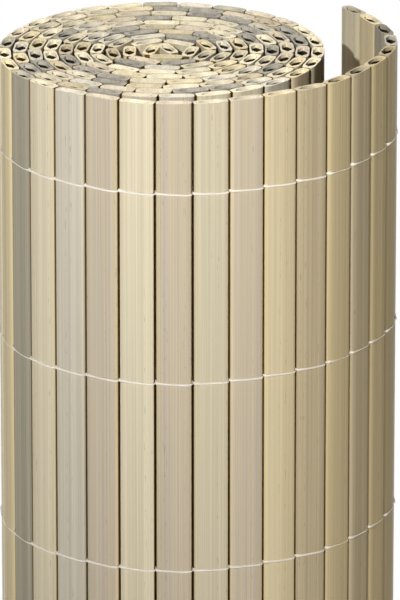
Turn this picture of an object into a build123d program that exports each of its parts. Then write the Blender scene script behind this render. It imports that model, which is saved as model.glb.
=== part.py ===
from build123d import *
import math
import os

# A roll of slat screening, stood on end with its loose end curling away at the front right.
# The mat is many hollow oval plastic slats, laced edge to edge by rows of thin cord.
# Millimetres and degrees, Z up, seen from the front along +Y.
# The origin is the middle of the ground that the roll covers.

# Slats: one hollow oval profile, cut to the height of the mat
mat_height = 900.0
slat_count = 163
slat_width = 17.9
slat_thickness = 6.1
slat_wall = 0.8
blunt_edge = 1.5
shoulder_height = 3.8
shoulder_setback = 1.25
crown_width = 7.0
edge_wall = 1.6

# Lacing: rows of cord that hold the slats side by side
cord_diameter = 0.75
cord_spacing = 100.0
top_cord_drop = 47.5
cord_seat = 0.05
slat_gap = 0.4

# Roll: a tight core, then layers with two cords' thickness and a little air between them
core_room = 2.25
core_start_angle = 114.5
layer_air = 0.06

# Folded slat: the inner end of the mat is turned back to lean on the first wound slat, and fills the core
folded_back = 4.5
folded_turn = 36.0

# Loose end: how much each gap bends, as a share of the bend at a gap in the last full turn
loose_bend_shares = (0.6, 0.9, 1.15, 1.15, 0.7, 0.45, 0.6, 1.1, 0.6, 0.45, 0.85, 1.4, 1.1, 0.6, 0.45)

# The slats from the last full turn to the loose end are pieces of their own; the others go by full turns
outer_slat_count = 41
inner_turn_count = 8

core_radius = slat_width / 2 + core_room
layer_pitch = slat_thickness + 2 * cord_diameter + layer_air
wound_count = slat_count - 1
rolled_count = wound_count - len(loose_bend_shares)


def edge_corners():
    """Corners beside a slat's edge: how far back from it, and how far off the middle plane."""
    return [
        (0.0, blunt_edge / 2),
        (shoulder_setback, shoulder_height / 2),
        ((slat_width - crown_width) / 2, slat_thickness / 2),
    ]


def edge_room(bend):
    """Room from a slat's edge to the middle of the gap, so that no corners meet in the bend."""
    half = bend / 2
    reach = [(slat_gap / 2 + off * math.sin(half)) / math.cos(half) - back for back, off in edge_corners()]
    return max(reach)


def spiral_point(angle):
    """A point on the mat's middle plane, after this much winding."""
    radius = core_radius + layer_pitch * angle / (2 * math.pi)
    return Vector(radius, 0).rotate(Axis.Z, core_start_angle + math.degrees(angle))


def next_step(angle, last_step):
    """How far round the spiral the next gap is, one slat further on."""
    low, high = 0.0, math.radians(150)
    for _ in range(40):
        step = (low + high) / 2
        spacing = slat_width + edge_room((last_step + step) / 2) + edge_room(step)
        if (spiral_point(angle + step) - spiral_point(angle)).length < spacing:
            low = step
        else:
            high = step
    return (low + high) / 2


def wind_mat():
    """Gap centres from the innermost edge to the loose end, and their winding angles."""
    angles = [0.0]
    step = 0.0
    for _ in range(rolled_count):
        step = next_step(angles[-1], step)
        angles.append(angles[-1] + step)
    gaps = [spiral_point(angle) for angle in angles]
    direction = gaps[-1] - gaps[-2]
    for share, next_share in zip(loose_bend_shares, loose_bend_shares[1:] + (0.0,)):
        direction = direction.rotate(Axis.Z, math.degrees(share * step))
        spacing = slat_width + edge_room(share * step) + edge_room(next_share * step)
        gaps.append(gaps[-1] + direction.normalized() * spacing)
        angles.append(angles[-1] + share * step)
    return gaps, angles


def bend_at(gaps, index):
    """How far the mat turns at a gap, in radians; nothing at its two ends."""
    if index in (0, len(gaps) - 1):
        return 0.0
    before = gaps[index] - gaps[index - 1]
    after = gaps[index + 1] - gaps[index]
    return math.radians(before.get_angle(after))


def beside(gaps, index, offset):
    """The point beside a gap that lies this far outside both slats' middle planes."""
    before = gaps[max(index, 1)] - gaps[max(index, 1) - 1]
    last = len(gaps) - 2
    after = gaps[min(index, last) + 1] - gaps[min(index, last)]
    out_before = before.normalized().rotate(Axis.Z, -90)
    out_after = after.normalized().rotate(Axis.Z, -90)
    return gaps[index] + (out_before + out_after) * (offset / (1 + out_before.dot(out_after)))


def slat_outline():
    """Corners of the oval that a slat's outside is drawn as, in twelve flats."""
    quarter = [Vector(slat_width / 2 - back, off) for back, off in edge_corners()]
    upper = quarter + [Vector(-corner.X, corner.Y) for corner in reversed(quarter)]
    return upper + [-corner for corner in upper]


def slat_solid():
    """One slat standing on the ground, with a pointed bore."""
    outside = make_face(Polyline(*slat_outline(), close=True))
    bore_crown = crown_width / 2 - slat_wall / 2
    bore_rise = slat_thickness / 2 - slat_wall
    bore_upper = [(slat_width / 2 - edge_wall, 0), (bore_crown, bore_rise), (-bore_crown, bore_rise)]
    bore_lower = [(-x, -y) for x, y in bore_upper]
    bore = make_face(Polyline(*bore_upper, *bore_lower, close=True))
    return extrude(outside - bore, amount=mat_height)


def slat_place(gaps, index):
    """Where a slat stands between two gaps, with the room that each bend needs beside it."""
    along = gaps[index + 1] - gaps[index]
    start_room = edge_room(bend_at(gaps, index))
    end_room = edge_room(bend_at(gaps, index + 1))
    from_start = (along.length + start_room - end_room) / 2
    heading = math.degrees(math.atan2(along.Y, along.X))
    return Pos(gaps[index] + along.normalized() * from_start) * Rot(Z=heading)


def folded_beside():
    """How far beside the first wound slat the folded one lies, to lean on it a slat gap away."""
    straight = slat_outline()
    turned = [corner.rotate(Axis.Z, folded_turn) for corner in straight]
    reaches = []
    for outline in (straight, turned):
        for corner, next_corner in zip(outline, outline[1:] + outline[:1]):
            normal = (next_corner - corner).rotate(Axis.Z, -90).normalized()
            if normal.Y > 0.2:
                room = slat_gap + sum(max(c.dot(normal) for c in corners) for corners in (straight, turned))
                reaches.append((room + folded_back * normal.X) / normal.Y)
    return min(reaches)


def cord_solid(gaps, level):
    """One cord along the outer faces of the outer slats, from slat to slat."""
    inside = slat_thickness / 2 + cord_seat
    first = len(gaps) - 1 - outer_slat_count
    route = range(first, len(gaps))
    near = [beside(gaps, index, inside) for index in route]
    far = [beside(gaps, index, inside + cord_diameter) for index in route]
    strip = make_face(Polyline(*near, *reversed(far), close=True))
    return Pos(0, 0, level - cord_diameter / 2) * extrude(strip, amount=cord_diameter)


def ground_centre(gaps):
    """Middle of the ground that the mat covers, with the cords on its outside."""
    reach = slat_thickness / 2 + cord_seat + cord_diameter
    outline = [beside(gaps, index, reach) for index in range(len(gaps) - 1 - outer_slat_count, len(gaps))]
    xs = [point.X for point in outline]
    ys = [point.Y for point in outline]
    return Vector((min(xs) + max(xs)) / 2, (min(ys) + max(ys)) / 2)


def write_node(name, solids):
    shape = solids[0] if len(solids) == 1 else Compound(children=solids)
    shape.label = name
    export_step(shape, f"parts/{name}.step")


os.makedirs("parts", exist_ok=True)

wound_gaps, winding = wind_mat()
centre = ground_centre(wound_gaps)
mat_gaps = [gap - centre for gap in wound_gaps]
slat = slat_solid()
slats = [slat_place(mat_gaps, index) * slat for index in range(wound_count)]
folded_slat = slat_place(mat_gaps, 0) * Pos(-folded_back, folded_beside()) * Rot(Z=folded_turn) * slat

# The inner slats, one piece for each full turn, counted outwards from the core
inner_count = wound_count - outer_slat_count
inner_turns = [[] for _ in range(inner_turn_count)]
for index in range(inner_count):
    turns_inside = int((winding[inner_count] - winding[index + 1] + 1e-6) / (2 * math.pi))
    inner_turns[-1 - min(turns_inside, inner_turn_count - 1)].append(slats[index])
inner_turns[0].append(folded_slat)
for turn, members in enumerate(inner_turns, start=1):
    write_node(f"inner_turn_{turn}", members)

# The last full turn and the loose end, slat by slat
for number, solid in enumerate(slats[inner_count:], start=1):
    write_node(f"outer_slat_{number:02d}", [solid])

# The cord rows, from the top down
cord_rows = int((mat_height - 2 * top_cord_drop) / cord_spacing) + 1
for row in range(cord_rows):
    row_height = mat_height - top_cord_drop - row * cord_spacing
    write_node(f"lacing_cord_{row + 1}", [cord_solid(mat_gaps, row_height)])
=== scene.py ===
import math
import random

import bmesh
import bpy
from mathutils import Matrix, Vector


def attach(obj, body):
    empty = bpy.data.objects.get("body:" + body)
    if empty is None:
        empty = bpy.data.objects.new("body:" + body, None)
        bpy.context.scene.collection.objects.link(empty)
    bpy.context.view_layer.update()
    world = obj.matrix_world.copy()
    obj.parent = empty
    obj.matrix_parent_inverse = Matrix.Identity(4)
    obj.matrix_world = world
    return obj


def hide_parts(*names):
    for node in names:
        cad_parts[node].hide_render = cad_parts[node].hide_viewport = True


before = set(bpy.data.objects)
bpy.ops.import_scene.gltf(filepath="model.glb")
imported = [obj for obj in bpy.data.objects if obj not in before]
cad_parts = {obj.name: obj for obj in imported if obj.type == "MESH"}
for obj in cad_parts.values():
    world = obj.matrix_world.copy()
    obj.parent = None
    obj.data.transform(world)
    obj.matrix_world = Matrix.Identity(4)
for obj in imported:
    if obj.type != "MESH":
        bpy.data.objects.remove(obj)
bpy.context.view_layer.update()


# The outer slats: the last full turn of the mat and its loose end, 41 slats.
# Each is a hollow oval of PVC, extruded in one length and sawn off at both ends.
# Only the cords hold them: they stand edge to edge, a little apart, with nothing else between.

roll_axis = Vector((-0.0166, 0.0040))
mat_height = 0.900
slat_width = 0.0177
slat_thickness = 0.0064
crown_width = 0.0084
blunt_edge = 0.0024
shoulder_steps = 4
shoulder_fullness = 0.52
slat_wall = 0.0008
edge_wall = 0.0024
bore_flank = 0.0032
bore_tip_opening = 0.0002
sharpest_smooth_bend = math.radians(42)


def select_only(body, kind, wanted):
    """In edit mode, selects the corners, edges or faces that the test picks, and nothing else."""
    mesh = bmesh.from_edit_mesh(body.data)
    bpy.ops.mesh.select_all(action="DESELECT")
    bpy.ops.mesh.select_mode(type=kind)
    for item in {"VERT": mesh.verts, "EDGE": mesh.edges, "FACE": mesh.faces}[kind]:
        item.select = wanted(item)
    mesh.select_flush_mode()
    bmesh.update_edit_mesh(body.data)


def faces_inwards(normal, centre):
    """True for a wall that faces the slat's own middle line, as the bore's walls do."""
    return normal.x * centre.x + normal.y * centre.y < 0


def is_level(face):
    """True for a sawn end, which faces straight up or down."""
    return abs(face.normal.z) > 0.5


def is_bore_wall(face):
    """In edit mode, true for an upright face of the bore."""
    return not is_level(face) and faces_inwards(face.normal, face.calc_center_median())


def bore_section(body):
    """In edit mode, how far to either side and how high the corners of the bore's section lie."""
    mesh = bmesh.from_edit_mesh(body.data)
    return {(round(abs(corner.co.x), 6), round(abs(corner.co.y), 6))
            for face in mesh.faces if is_bore_wall(face) for corner in face.verts}


# A block is rounded along its upright edges, pressed flat to an oval, and bored from end to end
bpy.ops.object.select_all(action="DESELECT")
slat_middle = (0, 0, mat_height / 2)
rounding = (slat_width - crown_width) / 2
press = (slat_thickness - blunt_edge) / 2 / rounding
bpy.ops.mesh.primitive_cube_add(size=1, location=slat_middle)
pattern_slat = bpy.context.object
pattern_slat.scale = (slat_width, slat_thickness / press, mat_height)
bpy.ops.object.transform_apply(location=True, rotation=True, scale=True)
bpy.ops.object.mode_set(mode="EDIT")
select_only(pattern_slat, "EDGE",
            lambda edge: abs(edge.verts[0].co.z - edge.verts[1].co.z) > mat_height / 2)
bpy.ops.mesh.bevel(offset_type="OFFSET", offset=rounding, segments=shoulder_steps,
                   profile=shoulder_fullness, affect="EDGES")
bpy.ops.mesh.select_all(action="SELECT")
bpy.ops.transform.resize(value=(1, press, 1), center_override=(0, 0, 0))
select_only(pattern_slat, "FACE", is_level)
bpy.ops.mesh.inset(thickness=slat_wall, use_individual=True, use_even_offset=True)
bore_tip = slat_width / 2 - edge_wall
narrower = bore_tip / (slat_width / 2 - slat_wall)
bpy.ops.transform.resize(value=(narrower, 1, 1), center_override=slat_middle)
bpy.ops.mesh.bridge_edge_loops()

# The bore comes to a point at each side: its corners are drawn in until its flanks are straight
bore_rise = slat_thickness / 2 - slat_wall
for reach, rise in sorted(bore_section(pattern_slat)):
    flank_share = (bore_tip + bore_tip_opening - reach) / (bore_tip - bore_flank)
    flat_rise = bore_rise * min(1.0, flank_share)
    select_only(pattern_slat, "VERT",
                lambda corner: abs(abs(corner.co.x) - reach) < 0.00001
                and any(is_bore_wall(face) for face in corner.link_faces))
    bpy.ops.transform.resize(value=(1, flat_rise / rise, 1), center_override=slat_middle)
bpy.ops.mesh.select_all(action="SELECT")
bpy.ops.mesh.normals_make_consistent(inside=False)
bpy.ops.object.mode_set(mode="OBJECT")
bpy.ops.object.shade_smooth_by_angle(angle=sharpest_smooth_bend)


def on_inner_side(face):
    """True for the half of a slat that faces the roll's middle."""
    return face.center.y > 0.0001


# Where each corner lies across the slat and up it, in metres, for the streaks of the extrusion.
# The inner side, the bore and the sawn ends are set off from the outer side, to streak differently.
inner_side, bore_side, sawn_end = 0.04, 0.08, 0.16
across = pattern_slat.data.uv_layers.active or pattern_slat.data.uv_layers.new(name="across")
across.name = "across"
for face in pattern_slat.data.polygons:
    kind = inner_side if on_inner_side(face) else 0.0
    if is_level(face):
        kind = sawn_end
    elif faces_inwards(face.normal, face.center):
        kind += bore_side
    for loop in face.loop_indices:
        corner = pattern_slat.data.vertices[pattern_slat.data.loops[loop].vertex_index].co
        across.data[loop].uv = (corner.x + kind, corner.y if kind == sawn_end else corner.z)


def srgb(red, green, blue):
    """A colour as the eye sees it, out of 255, as the value that the shader wants."""
    seen = [channel / 255 for channel in (red, green, blue)]
    return (*[c / 12.92 if c <= 0.04045 else ((c + 0.055) / 1.055) ** 2.4 for c in seen], 1.0)


def add_node(tree, kind, links=(), **settings):
    """A node with its settings made, and its inputs joined to other nodes or given values."""
    node = tree.nodes.new(kind)
    for key, value in settings.items():
        setattr(node, key, value)
    for socket, source in links:
        if isinstance(source, bpy.types.NodeSocket):
            tree.links.new(source, node.inputs[socket])
        else:
            node.inputs[socket].default_value = source
    return node


def work_out(tree, operation, *terms):
    """The result of an operation on numbers or other nodes' results."""
    return add_node(tree, "ShaderNodeMath", enumerate(terms), operation=operation).outputs[0]


def stretch(tree, value, low, high, to_low=0.0, to_high=1.0, ease="LINEAR"):
    """A value stretched from one range to another, and held at the ends of it."""
    return add_node(tree, "ShaderNodeMapRange", [
        ("Value", value), ("From Min", low), ("From Max", high),
        ("To Min", to_low), ("To Max", to_high)], interpolation_type=ease).outputs[0]


def blend(tree, share, first, second):
    """The first colour with this share of the second one over it."""
    return add_node(tree, "ShaderNodeMix", [("Factor", share), (6, first), (7, second)],
                    data_type="RGBA").outputs[2]


def noise(tree, place, scale, detail, roughness=0.5):
    """Soft spots of this scale, from 0 to 1."""
    return add_node(tree, "ShaderNodeTexNoise", [
        ("Vector", place), ("Scale", scale), ("Detail", detail),
        ("Roughness", roughness)]).outputs["Fac"]


def new_group(name, inputs, outputs):
    """An empty shader group with named sockets, and its input and output nodes."""
    group = bpy.data.node_groups.new(name, "ShaderNodeTree")
    for label, kind, value in inputs:
        socket = group.interface.new_socket(label, in_out="INPUT", socket_type=kind)
        socket.default_value = value
    for label, kind in outputs:
        group.interface.new_socket(label, in_out="OUTPUT", socket_type=kind)
    return group, group.nodes.new("NodeGroupInput"), group.nodes.new("NodeGroupOutput")


# Extrusion streaks: plastic of several colours, drawn out in bands and fine lines along the slat
streaks, given, result = new_group(
    "extrusion_streaks",
    [("Body", "NodeSocketColor", (0.6, 0.5, 0.4, 1)),
     ("Band", "NodeSocketColor", (0.7, 0.6, 0.5, 1)),
     ("Edge", "NodeSocketColor", (0.7, 0.6, 0.4, 1)),
     ("Across", "NodeSocketVector", (0, 0, 0)),
     ("Scuff", "NodeSocketColor", srgb(120, 96, 62)),
     # The dark colour below is painted shade in the bore and down covered sides, and the soil on
     # dirty ends
     ("Shade_and_soil_colour", "NodeSocketColor", srgb(44, 32, 16)),
     # The brown colour below is painted shade on the edges where two slats meet
     ("Groove_shade_colour", "NodeSocketColor", srgb(112, 86, 48)),
     # The pale colour below is a painted highlight on the sawn ends and in the mouth of the bore
     ("Highlight_colour", "NodeSocketColor", srgb(250, 240, 216)),
     ("Seed", "NodeSocketFloat", 0.0),
     ("Shade", "NodeSocketFloat", 0.0),
     ("Shade_or_soil", "NodeSocketFloat", 0.0)],
    [("Colour", "NodeSocketColor"),
     ("Roughness", "NodeSocketFloat"),
     ("Height", "NodeSocketFloat")])
given = given.outputs
place = add_node(streaks, "ShaderNodeSeparateXYZ", [("Vector", given["Across"])])
upwards = place.outputs["Y"]
millimetres = work_out(streaks, "MULTIPLY", place.outputs["X"], 1000.0)
rows_of_streaks = 97.0
slat_row = work_out(streaks, "MULTIPLY", given["Seed"], rows_of_streaks)


def drawn_out(sideways, lengthwise):
    """A place on the slat, scaled across it and along it, in a row of the slat's own."""
    return add_node(streaks, "ShaderNodeCombineXYZ", [
        ("X", work_out(streaks, "MULTIPLY", millimetres, sideways)), ("Y", slat_row),
        ("Z", work_out(streaks, "MULTIPLY", upwards, lengthwise))]).outputs[0]


# Broad bands of the second colour, with fine lines of the edge's colour in them
strip = drawn_out(1.0, 2.2)
broad = stretch(streaks, noise(streaks, strip, 0.33, 2.0, 0.55), 0.40, 0.60, ease="SMOOTHSTEP")
fine_noise = noise(streaks, strip, 1.7, 3.0, 0.6)
fine_share = work_out(streaks, "MULTIPLY", stretch(streaks, fine_noise, 0.38, 0.66), 0.50)
banded = blend(streaks, broad, given["Body"], given["Band"])
lined = blend(streaks, fine_share, banded, given["Edge"])

# The edges: within two millimetres of a slat's edge the plastic is paler and yellower
edge_from, edge_full = 6.6, 8.4
half_way = 1000 * inner_side / 2
one_side = work_out(streaks, "WRAP", millimetres, half_way, -half_way)
from_middle = work_out(streaks, "ABSOLUTE", one_side)
near_edge = stretch(streaks, from_middle, edge_from, edge_full, ease="SMOOTHSTEP")
edged = blend(streaks, work_out(streaks, "MULTIPLY", near_edge, broad), lined, given["Edge"])

# Short brown scuffs, in some bands only
dash_noise = noise(streaks, drawn_out(1.0, 90.0), 1.6, 2.0, 0.7)
dashes = stretch(streaks, dash_noise, 0.60, 0.70, 0.0, 0.45)
scuff_bands = stretch(streaks, noise(streaks, strip, 0.55, 0.0), 0.63, 0.71)
worn = blend(streaks, work_out(streaks, "MULTIPLY", dashes, scuff_bands), edged, given["Scuff"])

# The bore's wall is painted paler at its mouth, as a painted highlight, and further down it is
# darkened with painted shade
mouth_depth, bore_shade_depth = 0.0016, 0.0020
bore_from = 1000 * (inner_side + bore_side) / 2
end_from = 1000 * (inner_side + bore_side + sawn_end) / 2
past_sides = work_out(streaks, "GREATER_THAN", millimetres, bore_from)
on_end = work_out(streaks, "GREATER_THAN", millimetres, end_from)
in_bore = work_out(streaks, "SUBTRACT", past_sides, on_end)
off_centre = work_out(streaks, "ABSOLUTE", work_out(streaks, "SUBTRACT", upwards, mat_height / 2))
from_end = work_out(streaks, "SUBTRACT", mat_height / 2, off_centre)
painted_bore_shade = stretch(streaks, from_end, mouth_depth, bore_shade_depth, 0.0, 0.97, ease="SMOOTHSTEP")
bore_shade_in_bore = work_out(streaks, "MULTIPLY", in_bore, painted_bore_shade)

# Sides that other slats cover get painted shade, a little way down from the end; soiled ends and
# bores are darkened by their soil
side_shade_from, side_shade_full = 0.0012, 0.0030
painted_side_shade = stretch(streaks, from_end, side_shade_from, side_shade_full, 0.0, 0.95)
side_shade_or_end = work_out(streaks, "MAXIMUM", on_end, painted_side_shade)
shade_or_soil_share = work_out(streaks, "MULTIPLY", given["Shade_or_soil"], side_shade_or_end)
darkest_shade_or_soil = work_out(streaks, "MAXIMUM", bore_shade_in_bore, shade_or_soil_share)
shade_and_soil_laid = blend(streaks, darkest_shade_or_soil, worn, given["Shade_and_soil_colour"])

# Painted shade where two slats meet, on the rounded edge of each
groove_from, groove_full = 8.66, 8.84
on_side = work_out(streaks, "SUBTRACT", 1.0, past_sides)
near_gap = stretch(streaks, from_middle, groove_from, groove_full)
painted_groove_shade = blend(streaks, work_out(streaks, "MULTIPLY", on_side, near_gap), shade_and_soil_laid, given["Groove_shade_colour"])

# The saw drags fine marks across the ends. The ends are painted a little paler and the mouth of the
# bore much paler, as painted highlights.
# Where a slat is soiled, the painted highlight in the bore is gone.
soiled = 0.30
saw_marks = noise(streaks, drawn_out(0.45, 2600.0), 1.0, 3.0, 0.65)
saw_swing = stretch(streaks, saw_marks, 0.32, 0.68, -0.26, 0.11)
mouth = stretch(streaks, from_end, bore_shade_depth, mouth_depth)
fresh = stretch(streaks, given["Shade_or_soil"], 0.0, soiled, 1.0, 0.0)
fresh_bore = work_out(streaks, "MULTIPLY", in_bore, fresh)
painted_bore_highlight = work_out(streaks, "MULTIPLY", fresh_bore, mouth)
painted_end_highlight = work_out(streaks, "MULTIPLY", on_end, 0.08)
paler_bore_highlight = work_out(streaks, "MULTIPLY", painted_bore_highlight, 0.20)
with_painted_highlights = blend(streaks, work_out(streaks, "ADD", painted_end_highlight, paler_bore_highlight), painted_groove_shade, given["Highlight_colour"])

# Thin lines and saw marks are lighter or darker, the bore's mouth gets a further painted highlight,
# and each slat has a shade of its own
thin_lines = stretch(streaks, noise(streaks, strip, 1.15, 4.0, 0.75), 0.3, 0.7, 0.86, 1.12)
brighter_bore_highlight = work_out(streaks, "MULTIPLY", painted_bore_highlight, 0.65)
saw_and_highlight_lift = work_out(streaks, "MULTIPLY_ADD", on_end, saw_swing, brighter_bore_highlight)
lifted = work_out(streaks, "ADD", saw_and_highlight_lift, thin_lines)
brightness = work_out(streaks, "ADD", given["Shade"], lifted)
shaded = add_node(streaks, "ShaderNodeHueSaturation", [("Color", with_painted_highlights), ("Value", brightness)])
streaks.links.new(shaded.outputs[0], result.inputs["Colour"])
streaks.links.new(stretch(streaks, fine_noise, 0.0, 1.0, 0.40, 0.58), result.inputs["Roughness"])
streaks.links.new(noise(streaks, strip, 3.1, 1.0), result.inputs["Height"])


def new_material(name):
    """A material, its node tree and its shader."""
    material = bpy.data.materials.new(name)
    material.use_nodes = True
    return material, material.node_tree, material.node_tree.nodes["Principled BSDF"]


def slat_plastic(name, body, band, edge):
    """Streaked PVC of one tone; what differs from slat to slat is kept on the mesh."""
    material, tree, shader = new_material(name)
    where = add_node(tree, "ShaderNodeUVMap", uv_map="across")
    look = add_node(tree, "ShaderNodeGroup", node_tree=streaks)
    for socket, colour in (("Body", body), ("Band", band), ("Edge", edge)):
        look.inputs[socket].default_value = srgb(*colour)
    tree.links.new(where.outputs["UV"], look.inputs["Across"])
    for socket, name_on_mesh in (
            ("Seed", "slat_seed"), ("Shade", "slat_shade"), ("Shade_or_soil", "slat_painted_shade_or_soil")):
        kept = add_node(tree, "ShaderNodeAttribute", attribute_name=name_on_mesh)
        tree.links.new(kept.outputs["Fac"], look.inputs[socket])
    bump = add_node(tree, "ShaderNodeBump", [
        ("Height", look.outputs["Height"]), ("Strength", 0.25), ("Distance", 0.0002)])
    tree.links.new(look.outputs["Colour"], shader.inputs["Base Color"])
    tree.links.new(look.outputs["Roughness"], shader.inputs["Roughness"])
    tree.links.new(bump.outputs["Normal"], shader.inputs["Normal"])
    shader.inputs["Specular IOR Level"].default_value = 0.03
    return material


tones = {
    "cream": slat_plastic("cream_slat_plastic", (232, 222, 197), (220, 211, 184), (236, 221, 184)),
    "straw": slat_plastic("straw_slat_plastic", (216, 200, 165), (224, 210, 178), (234, 216, 168)),
    "beige": slat_plastic("beige_slat_plastic", (212, 199, 177), (205, 194, 182), (231, 213, 172)),
    "taupe": slat_plastic("taupe_slat_plastic", (192, 177, 146), (204, 189, 158), (214, 198, 164)),
    "olive": slat_plastic("olive_slat_plastic", (188, 171, 132), (198, 182, 146), (210, 192, 150)),
    "grey": slat_plastic("grey_slat_plastic", (166, 160, 142), (178, 172, 153), (192, 184, 162)),
    "slate": slat_plastic("slate_slat_plastic", (140, 136, 130), (160, 155, 146), (186, 178, 160)),
    "pale": slat_plastic(
        "pale_grey_slat_plastic", (208, 201, 184), (218, 211, 194), (222, 213, 190)),
}
slots = {"cream": "slat_cream", "straw": "slat_cream", "beige": "slat_beige", "taupe": "slat_taupe",
         "olive": "slat_taupe", "grey": "slat_grey", "slate": "slat_grey", "pale": "slat_grey"}


def put_in_scene(name, data):
    """A new object with this mesh, curve, lamp or camera, in the scene."""
    thing = bpy.data.objects.new(name, data)
    bpy.context.scene.collection.objects.link(thing)
    return thing


def pick_up(thing):
    """Makes this the only object that is selected, and the active one."""
    bpy.ops.object.select_all(action="DESELECT")
    thing.select_set(True)
    bpy.context.view_layer.objects.active = thing


def slats_in(node):
    """Where each slat of a CAD node stands: its middle on the ground, and its turn."""
    pick_up(put_in_scene(node + "_copy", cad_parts[node].data.copy()))
    bpy.ops.object.mode_set(mode="EDIT")
    bpy.ops.mesh.select_all(action="SELECT")
    bpy.ops.mesh.remove_doubles(threshold=0.00001)
    bpy.ops.mesh.separate(type="LOOSE")
    bpy.ops.object.mode_set(mode="OBJECT")
    found = []
    for part in list(bpy.context.selected_objects):
        feet = [v.co.xy for v in part.data.vertices if v.co.z < 0.001]
        middle = sum(feet, Vector((0, 0))) / len(feet)
        spread = [p - middle for p in feet]
        lean = 2 * sum(p.x * p.y for p in spread)
        length = sum(p.x ** 2 - p.y ** 2 for p in spread)
        turn = math.atan2(lean, length) / 2
        outward = Vector((math.sin(turn), -math.cos(turn)))
        if outward.dot(middle - roll_axis) < 0:
            turn += math.pi
        found.append((middle, turn))
        bpy.data.meshes.remove(part.data)
    return found


def stand_slat(name, stand, look, cut, covered, soil, wider, thicker):
    """A slat with a mesh of its own, stood in its place in the mat.

    stand: its middle on the ground and its turn; look: its tone, shade and seed;
    cut: how short and how askew its upper end is sawn;
    covered: whether other slats cover its outer and its inner side, which then get painted shade;
    soil: how dirty its ends are.
    """
    (middle, turn), (tone, shade, seed), (short, slope) = stand, look, cut
    outer_covered, inner_covered = covered
    mesh = pattern_slat.data.copy()
    mesh.name = name
    # Covered sides get 1, for painted shade down them from the end; the sawn ends and the bore get
    # the slat's soil
    shade_or_soil_values = mesh.attributes.new("slat_painted_shade_or_soil", "FLOAT", "FACE")
    for face in mesh.polygons:
        if is_level(face) or faces_inwards(face.normal, face.center):
            shade_or_soil_values.data[face.index].value = soil
        else:
            covering = inner_covered if on_inner_side(face) else outer_covered
            shade_or_soil_values.data[face.index].value = 1.0 if covering else 0.0
    for vertex in mesh.vertices:
        vertex.co.x *= wider
        vertex.co.y *= thicker
        if vertex.co.z > mat_height / 2:
            vertex.co.z -= short + abs(slope) * slat_width / 2 + slope * vertex.co.x
    mesh.transform(Matrix.Translation((middle.x, middle.y, 0)) @ Matrix.Rotation(turn, 4, "Z"))
    for label, value in (("slat_seed", seed), ("slat_shade", shade)):
        attribute = mesh.attributes.new(label, "FLOAT", "POINT")
        attribute.data.foreach_set("value", [value] * len(mesh.vertices))
    mesh.materials.append(tones[tone])
    return put_in_scene(name, mesh)


# The looks of the slats that the photograph shows, left to right, then round the loose end
shown_looks = {
    23: ("straw", 0.02, 0.23), 24: ("grey", -0.05, 0.31), 25: ("cream", -0.04, 0.42),
    26: ("pale", -0.05, 0.57), 27: ("beige", -0.10, 0.63), 28: ("cream", -0.03, 0.71),
    29: ("beige", -0.08, 0.87), 30: ("cream", -0.11, 0.95), 31: ("beige", -0.04, 0.13),
    32: ("straw", -0.01, 0.19), 33: ("taupe", -0.02, 0.27), 34: ("olive", 0.09, 0.39),
    35: ("taupe", -0.14, 0.45), 36: ("olive", 0.05, 0.53), 37: ("olive", -0.12, 0.61),
    38: ("pale", -0.06, 0.77), 39: ("grey", -0.10, 0.81), 40: ("straw", -0.08, 0.93),
    41: ("cream", -0.16, 0.07),
}
shown_soil = {34: 0.10, 35: 0.15, 36: 0.15, 37: 0.20, 38: 0.35, 39: 0.55, 41: 0.35}
outer_slat_count = 41
first_open_slat = 25
first_wide_slat = 33
wide_share = 1.012
mixer = random.Random(41)
outer_tones = (["cream"] * 8 + ["straw"] * 3 + ["beige"] * 4 + ["taupe"] * 2 + ["grey"] * 5
               + ["pale"] * 3)
outer_places = []
for number in range(1, outer_slat_count + 1):
    node = f"outer_slat_{number:02d}"
    stand, = slats_in(node)
    outer_places.append(stand)
    guess = (mixer.choice(outer_tones), mixer.uniform(-0.08, 0.06), mixer.random())
    tone, shade, seed = shown_looks.get(number, guess)
    cut = (mixer.uniform(0, 0.0003), mixer.uniform(-0.02, 0.02))
    slat = stand_slat(f"slat_{number:02d}", stand, (tone, shade, seed), cut,
                      (False, number < first_open_slat), shown_soil.get(number, 0.0),
                      wider=wide_share if number >= first_wide_slat else 1.0, thicker=1.0)
    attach(slat, "root")
    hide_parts(node)


# The inner turns: the rest of the mat, 122 slats, the first one folded back to fill the core.
# They are the same extrusion, in a mix with darker greys, and only their sawn upper ends show.
# Each full turn is one piece, laid in the turn that the frame has for it.


def join_into_one(pieces):
    """The first piece, with all the others joined to it."""
    bpy.ops.object.select_all(action="DESELECT")
    for piece in pieces:
        piece.select_set(True)
    bpy.context.view_layer.objects.active = pieces[0]
    bpy.ops.object.join()
    return bpy.context.object


inner_tones = (["cream"] * 8 + ["straw"] * 4 + ["beige"] * 3 + ["taupe"] * 2 + ["slate"] * 7
               + ["pale"] * 3)
inner_turn_count = 8
# How much wider and thicker than the outer slats each turn's are: the first has the tightest bends
sizes_by_turn = [(0.94, 1.0), (1.0, 1.0), (1.0, 1.0)] + [(1.014, 1.09)] * 5
for number in range(1, inner_turn_count + 1):
    node = f"inner_turn_{number}"
    wider, thicker = sizes_by_turn[number - 1]
    outwards = sorted(slats_in(node), key=lambda stand: (stand[0] - roll_axis).length)
    members, counts = [], {}
    for index, stand in enumerate(outwards):
        look = (mixer.choice(inner_tones), mixer.uniform(-0.15, 0.06), mixer.random())
        cut = (mixer.uniform(0, 0.0004), mixer.uniform(-0.025, 0.025))
        slot = slots[look[0]]
        counts[slot] = counts.get(slot, 0) + 1
        members.append(stand_slat(f"turn_{number}_slat_{index}", stand, look, cut,
                                  (number > 2, number > 2), mixer.uniform(0, 0.16), wider, thicker))
    coil = join_into_one(members)
    coil.name = f"wound_turn_{number}"
    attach(coil, "root")
    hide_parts(node)
    max(sorted(counts), key=counts.get)

bpy.data.objects.remove(pattern_slat)


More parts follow.
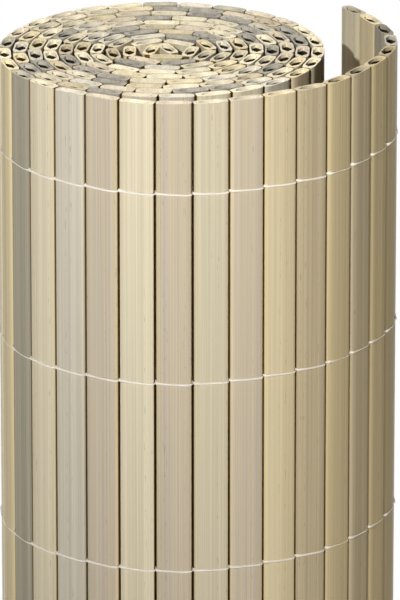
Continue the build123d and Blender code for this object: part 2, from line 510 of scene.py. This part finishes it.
# The lacing: nine rows of two thin white cords, one on each face of the mat.
# In every gap between two slats they change sides in half a twist, which holds the slats apart.
# Over a slat the outer cord runs down a little, and the next one comes out above it.

cord_radius = 0.00039
cord_rest = slat_thickness / 2 + 0.00027
cord_row_count = 9
row_spacing = 0.100
first_row = 0.0475
half_step = 0.00042
thick_cord, thin_cord = 1.35, 0.55
thick_from, thick_to = 25, 33


def cord_stations(thickness):
    """Along one slat: how far across, off its middle and down the cord is, and how thick."""
    return (
        (-0.00915, 0.00000, 1.00, 0.90), (-0.00890, 0.00260, 1.25, 2.20),
        (-0.00780, 0.00315, 1.05, 1.75), (-0.00350, cord_rest, 0.45, thickness),
        (0.00350, cord_rest, -0.45, thickness), (0.00740, 0.00285, -0.95, thickness),
        (0.00870, 0.00185, -1.00, 1.30),
    )


def strand_route(starts_outside):
    """Points of one cord of the first row round the outer slats, on either face by turns."""
    points = []
    outside = starts_outside
    for count, (middle, turn) in enumerate(outer_places, start=1):
        face = -1 if outside else 1
        fall = half_step if outside else -half_step
        thickness = thick_cord if thick_from <= count <= thick_to else thin_cord
        for x, off, drop, thick in cord_stations(thickness):
            spot = Vector((x, face * off, 0))
            spot.rotate(Matrix.Rotation(turn, 3, "Z"))
            height = mat_height - first_row + fall * drop
            points.append((middle.x + spot.x, middle.y + spot.y, height, thick))
        outside = not outside
    return points


def lay_strand(name, points):
    """A round cord along these points, as a mesh."""
    curve = bpy.data.curves.new(name, "CURVE")
    curve.dimensions = "3D"
    line = curve.splines.new("NURBS")
    line.points.add(len(points) - 1)
    for point, (x, y, z, thick) in zip(line.points, points):
        point.co = (x, y, z, 1)
        point.radius = thick
    line.order_u = 3
    line.use_endpoint_u = True
    curve.resolution_u = 2
    curve.bevel_depth = cord_radius
    curve.bevel_resolution = 2
    curve.use_fill_caps = True
    pick_up(put_in_scene(name, curve))
    bpy.ops.object.convert(target="MESH")
    bpy.ops.object.shade_smooth()
    return bpy.context.object


# White cord: twisted plies, a little soiled in places
cord_thread, tree, shader = new_material("white_cord")
where = add_node(tree, "ShaderNodeTexCoord").outputs["Object"]
plies = add_node(tree, "ShaderNodeTexWave", [
    ("Vector", where), ("Scale", 700.0), ("Distortion", 1.5), ("Detail", 1.0)],
    bands_direction="DIAGONAL")
soil = noise(tree, where, 90.0, 3.0)
tint = blend(tree, soil, srgb(255, 251, 244), srgb(238, 228, 212))
tree.links.new(tint, shader.inputs["Base Color"])
tree.links.new(stretch(tree, soil, 0.0, 1.0, 0.45, 0.7), shader.inputs["Roughness"])
bump = add_node(tree, "ShaderNodeBump", [
    ("Height", plies.outputs["Fac"]), ("Strength", 0.4), ("Distance", 0.0001)])
tree.links.new(bump.outputs["Normal"], shader.inputs["Normal"])

strands = [lay_strand("first_strand", strand_route(starts_outside=True)),
           lay_strand("second_strand", strand_route(starts_outside=False))]

# Both cords are knotted together at the last slat's free edge
knot_radius, knot_thickness = 0.0006, 0.00036
knot_tilt = math.radians(70)
end_middle, end_turn = outer_places[-1]
end_edge = Vector((slat_width / 2 + 0.0004, 0, 0))
end_edge.rotate(Matrix.Rotation(end_turn, 3, "Z"))
bpy.ops.mesh.primitive_torus_add(
    major_segments=12, minor_segments=6, major_radius=knot_radius, minor_radius=knot_thickness,
    location=(end_middle.x + end_edge.x, end_middle.y + end_edge.y, mat_height - first_row),
    rotation=(knot_tilt, 0, end_turn))
strands.append(bpy.context.object)
bpy.ops.object.transform_apply(location=True, rotation=True, scale=True)
bpy.ops.object.shade_smooth()

# One row is the pattern for all of them
pattern_row = join_into_one(strands)
pattern_row.data.materials.clear()
pattern_row.data.materials.append(cord_thread)
for number in range(1, cord_row_count + 1):
    mesh = pattern_row.data.copy()
    mesh.transform(Matrix.Translation((0, 0, -(number - 1) * row_spacing)))
    lacing = put_in_scene(f"lacing_{number}", mesh)
    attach(lacing, "root")
    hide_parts(f"lacing_cord_{number}")
bpy.data.objects.remove(pattern_row)


# The floor: a plain pale ground that takes the roll's shadow and fades to white further off.
# It isn't part of the mat.

floor_width = 40
fade_from, fade_full = 0.16, 0.65


def seen_rays(tree):
    """1 for the rays that show the background: straight, mirrored or through glass."""
    rays = add_node(tree, "ShaderNodeLightPath").outputs
    straight_or_mirrored = work_out(tree, "MAXIMUM", rays["Is Camera Ray"], rays["Is Glossy Ray"])
    return work_out(tree, "MAXIMUM", straight_or_mirrored, rays["Is Transmission Ray"])


bpy.ops.object.select_all(action="DESELECT")
bpy.ops.mesh.primitive_plane_add(size=floor_width, location=(0, 0, 0))
floor = bpy.context.object
floor.name = "floor"
floor_look, tree, shader = new_material("pale_floor")
shader.inputs["Roughness"].default_value = 0.9
shader.inputs["Specular IOR Level"].default_value = 0.1
where = add_node(tree, "ShaderNodeTexCoord").outputs["Object"]
grain = noise(tree, where, 30.0, 3.0)
pale = blend(tree, grain, srgb(208, 207, 204), srgb(218, 217, 214))
tree.links.new(pale, shader.inputs["Base Color"])
distance = add_node(tree, "ShaderNodeVectorMath", [(0, where)], operation="LENGTH").outputs["Value"]
far = stretch(tree, distance, fade_from, fade_full, ease="SMOOTHSTEP")
white = add_node(tree, "ShaderNodeEmission", [("Color", (1, 1, 1, 1)), ("Strength", 1.0)])
whiten = work_out(tree, "MULTIPLY", seen_rays(tree), far)
mix = add_node(tree, "ShaderNodeMixShader", [
    (0, whiten), (1, shader.outputs[0]), (2, white.outputs[0])])
tree.links.new(mix.outputs[0], tree.nodes["Material Output"].inputs["Surface"])
floor.data.materials.append(floor_look)


# The light: a small lamp at the front left, above the roll, and a soft one straight overhead.
# Three wide lamps fill in from the left, the back and the right, and the air is pale all round.

world = bpy.data.worlds.new("pale_air")
bpy.context.scene.world = world
world.use_nodes = True
tree = world.node_tree
air = tree.nodes["Background"]
air.inputs["Color"].default_value = (1.0, 0.95, 0.86, 1)
air.inputs["Strength"].default_value = 0.025
backdrop = add_node(tree, "ShaderNodeBackground", [("Color", (1, 1, 1, 1)), ("Strength", 1.0)])
mix = add_node(tree, "ShaderNodeMixShader", [
    (0, seen_rays(tree)), (1, air.outputs[0]), (2, backdrop.outputs[0])])
tree.links.new(mix.outputs[0], tree.nodes["World Output"].inputs["Surface"])


def hang_lamp(lamp, power, colour, place, aim):
    """Hangs a lamp at a place, turned to a point."""
    lamp.energy = power
    lamp.color = colour
    holder = put_in_scene(lamp.name, lamp)
    holder.location = place
    holder.rotation_euler = (Vector(place) - Vector(aim)).to_track_quat("Z", "Y").to_euler()


def wide_lamp(name, size):
    """A round lamp of this width."""
    lamp = bpy.data.lights.new(name, "AREA")
    lamp.shape = "DISK"
    lamp.size = size
    return lamp


bare_white, warm_white, sand_white = (1.0, 0.99, 0.97), (1.0, 0.98, 0.94), (1.0, 0.95, 0.86)
key = bpy.data.lights.new("low_front_left", "SPOT")
key.shadow_soft_size = 0.015
key.spot_size = math.radians(60)
key.spot_blend = 1.0
key_rise, key_side, key_away = math.radians(22), math.radians(-104), 1.4
hang_lamp(key, 62.0, (1.0, 0.995, 0.985), (
    roll_axis.x + key_away * math.cos(key_rise) * math.cos(key_side),
    roll_axis.y + key_away * math.cos(key_rise) * math.sin(key_side),
    mat_height + key_away * math.sin(key_rise)), (roll_axis.x, roll_axis.y, mat_height + 0.14))
hang_lamp(wide_lamp("straight_overhead", 0.2), 60.0, bare_white,
          (0.02, 0.0, mat_height + 2.5), (0.02, 0.0, 0))
hang_lamp(wide_lamp("left_side", 0.5), 5.5, warm_white, (-2.0, 0.10, 0.60), (0, 0, 0.50))
hang_lamp(wide_lamp("back", 0.5), 9.5, warm_white, (0.75, 1.85, 0.60), (0, 0, 0.50))
hang_lamp(wide_lamp("low_right", 0.4), 9.8, sand_white,
          (1.6, -1.4, 0.85), (roll_axis.x, roll_axis.y, 0.75))


# The camera: a long lens from the front, a little above the top of the roll, as in the photograph.
# It looks down on the sawn ends and shows the upper third of the mat.

look_down = 19.11
eye = bpy.data.cameras.new("photo_view")
eye.sensor_fit = "VERTICAL"
eye.sensor_height = 24
eye.lens = 340
camera = put_in_scene("photo_view", eye)
camera.location = (0.0010, -4.091, 2.185)
camera.rotation_euler = (math.radians(90 - look_down), 0, 0)
bpy.context.scene.camera = camera
bpy.context.scene.view_settings.view_transform = "Standard"
